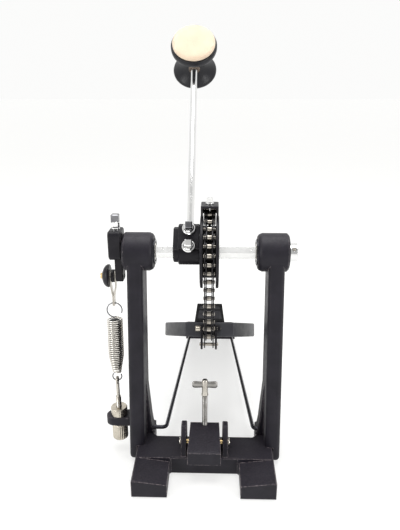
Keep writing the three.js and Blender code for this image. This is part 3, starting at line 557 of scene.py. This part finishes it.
def beater():
    place = axes(HEAD_CENTRE, TO_DRUM)
    profile = [(-30.0, 0), (-29.9, 6), (-29.2, 13), (-27.6, 19), (-25.2, 24.2), (-23.2, 26.6), (-21.6, 27.4),
               (-20.0, 27.5), (-18.6, 27.1), (-17.2, 25.8), (-14.5, 22.8), (-11.0, 19.8), (-7.5, 17.7),
               (-4.0, 16.4),
               (0.0, 16.0), (4.0, 16.4), (7.5, 17.8), (11.0, 20.3), (14.0, 23.8), (16.2, 26.8), (17.4, 27.7),
               (18.6, 28.0), (22.6, 28.0), (23.8, 27.6), (24.5, 26.9), (24.6, 26.2), (24.6, 0)]
    spool = Form(PLASTIC, BROWN)
    spool.turn([(h * MM, r * MM) for h, r in profile], place, steps=96)
    socket = axes(HEAD_CENTRE, SHAFT_UP)
    spool.turn([(h * MM, r * MM)
                for h, r in ((-17.2, 4.3), (-17.2, 6.4), (-16.2, 6.9), (-13.0, 6.9), (-13.0, 4.3))],
               socket, mark=1, steps=40, loop=True)
    spool.build("beater_body_fine", "beater_body")
    face = [(24.7, 0), (24.7, 24.8), (25.0, 25.5), (25.7, 25.9), (27.2, 25.9), (28.4, 25.5), (29.4, 24.6),
            (30.2, 22.8),
            (30.9, 19.5), (31.4, 15.0), (31.7, 10.0), (31.8, 5.0), (31.8, 0)]
    pad = Form(FELT)
    pad.turn([(h * MM, r * MM) for h, r in face], place, steps=96)
    felt = pad.build("beater_felt_fine", "beater_felt", smooth=60)

    low = -267.0 * MM
    rod = [(low, 0), (low, 3.2 * MM), (low + 0.8 * MM, 4 * MM), (8 * MM, 4 * MM), (8 * MM, 0)]
    shaft = Form(CHROME)
    shaft.turn(rod, socket, steps=48)
    shaft.build("beater_shaft_fine", "beater_shaft")


# ---------- chain ----------
CHAIN_PITCH = 9.525 * MM
PLATE_END = 4.1 * MM
LINKS = sorted(node for node in frame["nodes"] if node.startswith("chain_link_"))


def waisted_plate(half_waist=3.1 * MM):
    """A chain plate's outline: two round ends joined by a slight waist, in local Y and -Z."""
    top = arc((0, 0), PLATE_END, 215, -35, 14)
    low = arc((0, -CHAIN_PITCH), PLATE_END, 35, -215, 14)
    right = [(half_waist, -CHAIN_PITCH / 2)]
    left = [(-half_waist, -CHAIN_PITCH / 2)]
    return top + right + low + left


def link_places():
    """Each link's frame: origin at its upper pin, local Z up the link, local X across the chain."""
    centres = [middle(node) for node in LINKS]
    places = []
    for i, node in enumerate(LINKS):
        low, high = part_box(node)
        lean = max(0.0, (high.y - low.y - 2 * PLATE_END) / CHAIN_PITCH)
        rise = math.sqrt(max(0.0, 1 - lean * lean))
        ahead = centres[min(i + 1, len(LINKS) - 1)] - centres[max(i - 1, 0)]
        upward = Vector((0, -math.copysign(lean, ahead.y), rise))
        places.append(axes(centres[i] + upward * CHAIN_PITCH / 2, upward))
    return places


def pin_with_heads(form, place, drop, half, mark):
    """A riveted pin across the chain at the given distance down the link."""
    across = place @ Matrix.Translation((0, 0, -drop)) @ Matrix.Rotation(math.pi / 2, 4, "Y")
    head = 0.35 * MM
    form.turn([(-half, 0), (-half, 1.2 * MM), (-half + head, 1.8 * MM), (half - head, 1.8 * MM),
               (half, 1.2 * MM),
               (half, 0)], across, mark, steps=20)


def chain():
    across = Matrix(((0, 0, 1, 0), (1, 0, 0, 0), (0, 1, 0, 0), (0, 0, 0, 1)))  # outline X, Y to local Y, Z
    outline = waisted_plate()
    for i, (node, place) in enumerate(zip(LINKS, link_places())):
        form = Form(PLATE, ROLLER)
        outer = i % 2 == 0
        inner_face, outer_face = (4.0, 5.2) if outer else (2.4, 3.65)
        for low, high in ((-outer_face, -inner_face), (inner_face, outer_face)):
            form.prism(outline, low * MM, high * MM, place @ across)
        if outer:
            last = i == len(LINKS) - 1
            pin_with_heads(form, place, 0, 6.1 * MM, 1)
            pin_with_heads(form, place, CHAIN_PITCH, (10.2 if last else 6.1) * MM, 1)
        else:
            for drop in (0, CHAIN_PITCH):
                spot = place @ Matrix.Translation((0, 0, -drop)) @ Matrix.Rotation(math.pi / 2, 4, "Y")
                barrel = [(-2.3, 1.95), (-2.3, 2.35), (-2.0, 2.54), (2.0, 2.54), (2.3, 2.35), (2.3, 1.95)]
                form.turn([(h * MM, r * MM) for h, r in barrel], spot, mark=1, steps=28, loop=True)
        form.build(node + "_fine", node, bevel=0.18 * MM, angle=60)


def chain_clamp_bolt():
    low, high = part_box("chain_clamp_bolt")
    centre = (low + high) / 2
    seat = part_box("chain_clamp")[1].z + 0.2 * MM
    place = Matrix.Translation(Vector((centre.x, centre.y, 0)))
    form = Form(CHROME)
    hexagon = [(3.5 * MM * math.cos(math.radians(60 * k)), 3.5 * MM * math.sin(math.radians(60 * k)))
               for k in range(6)]
    form.prism(hexagon, seat + 0.6 * MM, high.z, place)
    form.turn([(seat, 0), (seat, 4.4 * MM), (seat + 0.8 * MM, 4.4 * MM), (seat + 0.8 * MM, 0)], place,
              steps=36)
    form.shaped(thread_radius(1.5 * MM, 0.2 * MM, 0.6 * MM), steps_between(low.z, seat + 0.1 * MM, 0.3 * MM),
                place,
                steps=16)
    form.build("chain_clamp_bolt_fine", "chain_clamp_bolt", bevel=0.3 * MM, angle=50)


# ---------- return spring ----------
SPRING_TOP = pivot("stirrup_swing")
SPRING_FOOT = pivot("spring_swing")
SPRING_WIRE = 0.72 * MM
RING_STEPS = 26
HOOK_STEPS = 21
WIRE_SIDES = 10


def spring_route():
    """One wire: ring at the top, coil, narrowing coil, and the hook at the bottom."""
    ring_radius, coil_radius, foot_radius, pitch = 8.3 * MM, 8.15 * MM, 4.3 * MM, 2.35 * MM
    ring_at, coil_at, taper_at, taper_end, hook_at, hook_radius = (
        d * MM for d in (39.0, 49.4, 92.0, 113.0, 118.5, 5.15))
    down = (SPRING_FOOT - SPRING_TOP).normalized()
    place = axes(SPRING_TOP, down)
    local = []
    for i in range(RING_STEPS + 1):  # from the right, over the top and down to the middle
        angle = math.radians(-205 + 295 * i / RING_STEPS)
        local.append((-ring_radius * math.cos(angle), 0, ring_at + ring_radius * math.sin(angle)))
    steps = 20
    length = taper_end - coil_at
    turns = length / pitch
    for i in range(1, steps // 2):  # out from the axis to the coil's own radius
        share = i / (steps / 2)
        angle = math.pi * (share - 1)
        local.append((coil_radius * share * math.cos(angle), coil_radius * share * math.sin(angle),
                      ring_at + ring_radius + (coil_at - ring_at - ring_radius) * share))
    for i in range(round(turns * steps) + 1):
        drop = coil_at + pitch * i / steps
        narrow = max(0.0, (drop - taper_at) / (taper_end - taper_at))
        radius = coil_radius + (foot_radius - coil_radius) * narrow
        angle = 2 * math.pi * i / steps
        local.append((radius * math.cos(angle), radius * math.sin(angle), drop))
    last = 2 * math.pi * round(turns * steps) / steps
    for i in range(1, steps // 2):  # back in to the axis
        share = 1 - i / (steps / 2)
        angle = last + math.pi * (1 - share)
        local.append((foot_radius * share * math.cos(angle), foot_radius * share * math.sin(angle),
                      taper_end + (hook_at - hook_radius - taper_end) * (1 - share)))
    for i in range(HOOK_STEPS + 1):
        angle = math.radians(-90 + 300 * i / HOOK_STEPS)
        local.append((-hook_radius * math.cos(angle), 0, hook_at + hook_radius * math.sin(angle)))
    return [place @ Vector(point) for point in local]


def spring():
    coil = Form(COIL, RUBBER, SMOKED)
    coil.sweep(spring_route(), SPRING_WIRE, sides=WIRE_SIDES)
    ring_faces, hook_faces = RING_STEPS * WIRE_SIDES, HOOK_STEPS * WIRE_SIDES
    coil.marks[:ring_faces] = [2] * ring_faces
    coil.marks[-hook_faces - 2:] = [2] * (hook_faces + 2)
    down = (SPRING_FOOT - SPRING_TOP).normalized()
    # A dark rubber core inside the coil is painted shade: it stands in for the shadow inside the spring, seen
    # through the gaps between the turns.
    shade_core = [(51.0, 0), (51.0, 5.4), (52.0, 6.3)] + [(d, 6.3) for d in range(55, 92, 4)] + [
        (93.0, 6.2), (97.0, 5.5), (101.0, 4.8), (105.0, 4.1), (109.0, 3.2), (110.0, 2.4), (110.0, 0)]
    coil.turn([(d * MM, r * MM) for d, r in shade_core], axes(SPRING_TOP, down), mark=1, steps=32)
    piece = coil.build("return_spring_wire", ("return_spring", "spring_top_hook"), body="later", smooth=80)
    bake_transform(piece)


def eye_rod():
    low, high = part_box("spring_eye_rod")
    centre = (low + high) / 2
    eye_radius, wire, shank, thread = 3.4 * MM, 1.5 * MM, 1.9 * MM, 3.1 * MM
    eye_z = high.z - eye_radius - wire
    step = 71.5 * MM
    middle_line = Vector((centre.x, centre.y, 0))
    form = Form(NICKEL)
    ring = [middle_line + Vector((0, eye_radius * math.sin(a), eye_z + eye_radius * math.cos(a)))
            for a in (2 * math.pi * i / 32 for i in range(32))]
    form.sweep(ring, wire, sides=14, loop=True)
    place = Matrix.Translation(middle_line)
    form.turn([(step - 0.5 * MM, 0), (step - 0.5 * MM, 2.6 * MM), (step + 0.6 * MM, shank),
               (eye_z - eye_radius - 1.0 * MM, shank), (eye_z - eye_radius + 0.6 * MM, 1.6 * MM),
               (eye_z - eye_radius + 0.6 * MM, 0)], place, steps=28)
    form.shaped(thread_radius(thread, 0.35 * MM, 1.0 * MM), steps_between(low.z, step, 0.25 * MM), place,
                steps=28)
    form.build("spring_eye_rod_fine", "spring_eye_rod")


def knurled_nuts():
    teeth, chamfer = 26, 0.9 * MM
    for node, depth in (("spring_nut_upper", 0.12 * MM), ("spring_nut_lower", 0.36 * MM)):
        low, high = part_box(node)
        centre = (low + high) / 2
        radius = (high.x - low.x) / 2
        bottom, top = low.z, high.z

        def at(angle, height, radius=radius, bottom=bottom, top=top, depth=depth):
            edge = min(height - bottom, top - height)
            limit = radius - max(0.0, chamfer - edge)
            return min(limit, radius - depth * abs(math.sin(teeth * angle / 2)))

        form = Form(ZINC)
        groove = bottom + (top - bottom) * 0.5
        heights = [bottom, bottom + 0.45 * MM, bottom + chamfer, groove, top - chamfer, top - 0.45 * MM, top]
        form.shaped(at, heights, Matrix.Translation(Vector((centre.x, centre.y, 0))), steps=teeth * 8,
                    bore=3.4 * MM)
        form.build(node + "_fine", node, smooth=25)


# ---------- footboard trim ----------
BOARD_FRAME = Matrix.Translation(HEEL_PIVOT) @ Matrix.Rotation(-BOARD_TILT, 4, "X")
BOARD_TOP = 9.5 * MM


def grip_bar(form, place, half_length, half_width, height):
    """A low bar with round ends and sloping sides, standing on local Z 0."""
    def ring(grow, at):
        return [(x, y, at) for x, y in arc((half_length, 0), half_width + grow, -90, 90, 8)
                + arc((-half_length, 0), half_width + grow, 90, 270, 8)]
    form.rings([ring(0, -0.3 * MM), ring(0, 0), ring(-0.15 * half_width, height * 0.8),
                ring(-0.45 * half_width, height)],
               place)


def board_grips():
    """Rows of raised bars on the footboard and the heel plate, plain stand-ins for the hidden tread."""
    # The grips share the footboard's lighter coat, which is painted light.
    board = Form(BOARD_COAT_PAINTED_LIGHT)
    for row in range(13):
        along = -(52 + 17 * row) * MM
        half = (27 + 12 * math.sin(math.pi * (row + 1.5) / 15)) * MM
        for side in (-1, 1):
            slant = Matrix.Rotation(math.radians(-24 * side), 4, "Z")
            spot = Matrix.Translation((side * half / 2, along, BOARD_TOP))
            grip_bar(board, BOARD_FRAME @ spot @ slant, half / 2 - 5 * MM, 1.7 * MM, 1.0 * MM)
    board.build("footboard_grips", body=BODY_OF["footboard"])
    low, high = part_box("heel_plate")
    plate = Form(CASTING)
    slope_start, slope_end, start_top, end_top = low.y + 39 * MM, high.y + 5 * MM, 13 * MM, 7.5 * MM
    slope = math.atan2(end_top - start_top, slope_end - slope_start)
    for row in range(3):
        along = slope_start + (3 + 9.5 * row) * MM
        top = start_top + (along - slope_start) * math.tan(slope)
        spot = Matrix.Translation((HEEL_PIVOT.x, along, top)) @ Matrix.Rotation(slope, 4, "X")
        grip_bar(plate, spot, 25 * MM, 1.7 * MM, 1.0 * MM)
    plate.build("heel_plate_grips", body=BODY_OF["heel_plate"])


def toe_stop():
    """The trapezoid stop: dark border, a paler sunk panel and a thin shelf above it."""
    foot, head, height, thick = 16.6 * MM, 13.7 * MM, 20 * MM, 7 * MM
    lean = Matrix.Rotation(-math.radians(3.5), 4, "X")
    lift = BOARD_TOP + 0.3 * MM + thick * math.sin(math.radians(3.5))
    place = BOARD_FRAME @ Matrix.Translation((0, -296.7 * MM, lift)) @ lean
    upright = place @ Matrix(((1, 0, 0, 0), (0, 0, 1, 0), (0, 1, 0, 0),
                              (0, 0, 0, 1)))  # outline X, Y to local X, Z
    form = Form(RUBBER, PANEL)
    rim = 2.4 * MM
    outer = [(-foot, 0), (foot, 0), (head, height), (-head, height)]
    sunk = [(-foot + rim, 3 * MM), (foot - rim, 3 * MM), (head - rim, height - 2.8 * MM),
            (-head + rim, height - 2.8 * MM)]
    form.prism(outer, 1.1 * MM, thick, upright)
    for i in range(4):  # border bars round the panel
        j = (i + 1) % 4
        form.prism([outer[i], outer[j], sunk[j], sunk[i]], 0, 1.3 * MM, upright)
    form.prism([(x * 0.985, y * 0.99 + 0.1 * MM) for x, y in sunk], 0.75 * MM, 1.2 * MM, upright, mark=1)
    ledge = height * 0.62
    form.prism([(-12.4 * MM, ledge), (12.4 * MM, ledge), (12.2 * MM, ledge + 1.3 * MM),
                (-12.2 * MM, ledge + 1.3 * MM)],
               0.15 * MM, 1.1 * MM, upright)
    form.build("toe_stop_fine", "toe_stop", bevel=0.35 * MM, angle=30)


def clevis_bolt():
    low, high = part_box("toe_clevis_bolt")
    place = BOARD_FRAME @ Matrix.Translation((0, -306.6 * MM, 2.4 * MM)) @ Matrix.Rotation(
        math.pi / 2, 4, "Y")
    shift = -HEEL_PIVOT.x
    left, right = low.x + shift, high.x + shift
    form = Form(ZINC, STEEL)
    form.turn([(left, 0), (left, 2.6 * MM), (left + 0.5 * MM, 3.1 * MM), (left + 5.4 * MM, 3.1 * MM),
               (left + 5.9 * MM, 2.7 * MM), (left + 5.9 * MM, 1.9 * MM), (right - 3.6 * MM, 1.9 * MM),
               (right - 3.6 * MM, 0)], place, steps=36)
    nut = [(3.6 * MM * math.cos(math.radians(60 * k)), 3.6 * MM * math.sin(math.radians(60 * k)))
           for k in range(6)]
    form.prism(nut, right - 3.9 * MM, right - 0.3 * MM, place, mark=1)
    form.turn([(right - 0.4 * MM, 0), (right - 0.4 * MM, 1.8 * MM), (right, 1.5 * MM), (right, 0)], place,
              steps=24)
    form.build("toe_clevis_bolt_fine", "toe_clevis_bolt", bevel=0.25 * MM, angle=50)


# ---------- radius rods ----------
def radius_rods():
    hole_y, hole_z, post_x = 27 * MM, 27 * MM, 74 * MM
    heel_front, heel_z, heel_side = 306 * MM, 7.8 * MM, 36 * MM
    for side, knee, node in ((-1, -46 * MM, "left_radius_rod"), (1, 57 * MM, "right_radius_rod")):
        heel_x = HEEL_PIVOT.x + side * heel_side
        corners = [Vector((side * post_x, hole_y, hole_z)), Vector((knee, hole_y, hole_z)),
                   Vector((heel_x, heel_front - 12 * MM, heel_z)),
                   Vector((heel_x, heel_front + 14 * MM, heel_z))]
        form = Form(WIRE)
        form.sweep(rounded_route(corners, (6 * MM, 8 * MM)), 2.3 * MM, sides=20)
        form.build(node + "_fine", node, smooth=80)


# ---------- hoop clamp hardware ----------
def clamp_pin():
    at = pivot("clamp_jaw_tilt")
    place = axes(Vector((0, at.y, at.z)), X_AXIS)
    form = Form(BRASS, NICKEL)
    form.turn([(-26.7 * MM, 0), (-26.7 * MM, 3 * MM), (26.7 * MM, 3 * MM), (26.7 * MM, 0)], place)
    for side in (-1, 1):
        head = [(26.6, 0), (26.6, 4.0), (26.8, 4.3), (27.6, 4.3), (28.2, 3.9), (28.6, 2.9), (28.6, 0)]
        form.turn([(side * h * MM, r * MM) for h, r in head], place, mark=1)
    form.build("clamp_pin_fine", "clamp_pin")


def t_bolt():
    low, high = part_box("clamp_t_bolt")
    axis = pivot("clamp_bolt_turn")
    place = Matrix.Translation(Vector((axis.x, axis.y, 0)))
    form = Form(NICKEL, GREY_STEEL)
    form.shaped(thread_radius(3.0 * MM, 0.3 * MM, 1.0 * MM), steps_between(low.z, 84.8 * MM, 0.2 * MM), place,
                mark=1, steps=36)
    barrel = [(84.0, 0), (84.0, 3.6), (84.6, 3.95), (85.6, 3.95), (86.8, 3.4), (91.0, 3.3), (102.4, 3.3),
              (103.3, 2.8),
              (103.8, 2.0), (103.8, 0)]
    form.turn([(h * MM, r * MM) for h, r in barrel], place, steps=36)
    wing = axes(Vector((axis.x, axis.y, 97.4 * MM)), X_AXIS) @ Matrix.Diagonal((0.48, 1, 1, 1))
    half = (high.x - low.x) / 2
    form.turn([(-half, 0), (-half, 2.2 * MM), (-half + 0.8 * MM, 3.4 * MM), (-half + 2.0 * MM, 4.1 * MM),
               (-half + 4 * MM, 4.2 * MM), (-3 * MM, 3.7 * MM), (3 * MM, 3.7 * MM), (half - 4 * MM, 4.2 * MM),
               (half - 2.0 * MM, 4.1 * MM), (half - 0.8 * MM, 3.4 * MM), (half, 2.2 * MM), (half, 0)], wing,
              mark=1, steps=32)
    form.build("clamp_t_bolt_fine", "clamp_t_bolt")


# ---------- floor, lights, camera ----------
def stage():
    n = Nodes("studio_floor")
    place = n.tree.nodes.new("ShaderNodeTexCoord").outputs["Object"]
    shade = n.mix(n.noise(place, 3.0), rgb(0.44, 0.44, 0.436), rgb(0.46, 0.46, 0.455))
    n.tree.links.new(shade, n.shader.inputs["Base Color"])
    n.shader.inputs["Roughness"].default_value = 0.9
    n.shader.inputs["Specular IOR Level"].default_value = 0.1
    n.shader.inputs["Emission Color"].default_value = rgb(1.0, 1.0, 0.99)
    n.shader.inputs["Emission Strength"].default_value = 0.58
    floor = bpy.data.meshes.new("floor")
    half = 40.0
    floor.from_pydata([(-half, -half, 0), (half, -half, 0), (half, half, 0), (-half, half, 0)], [],
                      [(0, 1, 2, 3)])
    floor.materials.append(n.material)
    ground = bpy.data.objects.new("floor", floor)
    ground.location.z = -0.0002
    bpy.context.scene.collection.objects.link(ground)


def area_light(name, place, target, width, height, power, colour=(1, 1, 1)):
    data = bpy.data.lights.new(name, "AREA")
    data.shape = "RECTANGLE"
    data.size, data.size_y, data.energy, data.color = width, height, power, colour
    lamp = bpy.data.objects.new(name, data)
    lamp.location = place
    lamp.rotation_euler = (Vector(target) - Vector(place)).to_track_quat("-Z", "Y").to_euler()
    bpy.context.scene.collection.objects.link(lamp)


def lights():
    world = bpy.data.worlds.new("studio")
    world.use_nodes = True
    tree = world.node_tree
    facing = tree.nodes.new("ShaderNodeTexCoord")
    split = tree.nodes.new("ShaderNodeSeparateXYZ")
    shade = tree.nodes.new("ShaderNodeMapRange")
    shade.interpolation_type = "SMOOTHSTEP"
    front, back, front_glow, back_glow = -0.75, 0.05, 0.55, 0.97
    for socket, value in zip(list(shade.inputs)[1:5], (front, back, front_glow, back_glow)):
        socket.default_value = value
    tree.links.new(facing.outputs["Generated"], split.inputs[0])
    tree.links.new(split.outputs["Y"], shade.inputs[0])
    tree.links.new(shade.outputs[0], tree.nodes["Background"].inputs["Strength"])
    tree.nodes["Background"].inputs["Color"].default_value = (1.0, 1.0, 0.993, 1.0)
    bpy.context.scene.world = world
    aim = (0, 0.1, 0.2)
    area_light("top_softbox", (0.0, 0.1, 1.3), aim, 0.8, 0.8, 9.0)
    area_light("left_strip", (-1.1, -0.75, 0.55), aim, 0.35, 0.9, 8.0)
    area_light("right_strip", (1.1, -0.75, 0.55), aim, 0.35, 0.9, 8.0)
    bpy.context.scene.view_settings.view_transform = "Standard"


def camera():
    data = bpy.data.cameras.new("camera")
    data.sensor_fit = "VERTICAL"
    data.sensor_height = 24.0
    data.lens = 22.64
    data.clip_start, data.clip_end = 0.01, 200.0
    eye = bpy.data.objects.new("camera", data)
    eye.location = (7.5 * MM, -471.6 * MM, 402.0 * MM)
    eye.rotation_euler = (math.radians(90 - 18.92), 0, math.radians(1.54))
    bpy.context.scene.collection.objects.link(eye)
    bpy.context.scene.camera = eye


castings()
bearings()
hub_screws()
rocker_bolt()
rocker_pin()
beater()
chain()
chain_clamp_bolt()
spring()
eye_rod()
knurled_nuts()
board_grips()
toe_stop()
clevis_bolt()
radius_rods()
clamp_pin()
t_bolt()
stage()
lights()
camera()
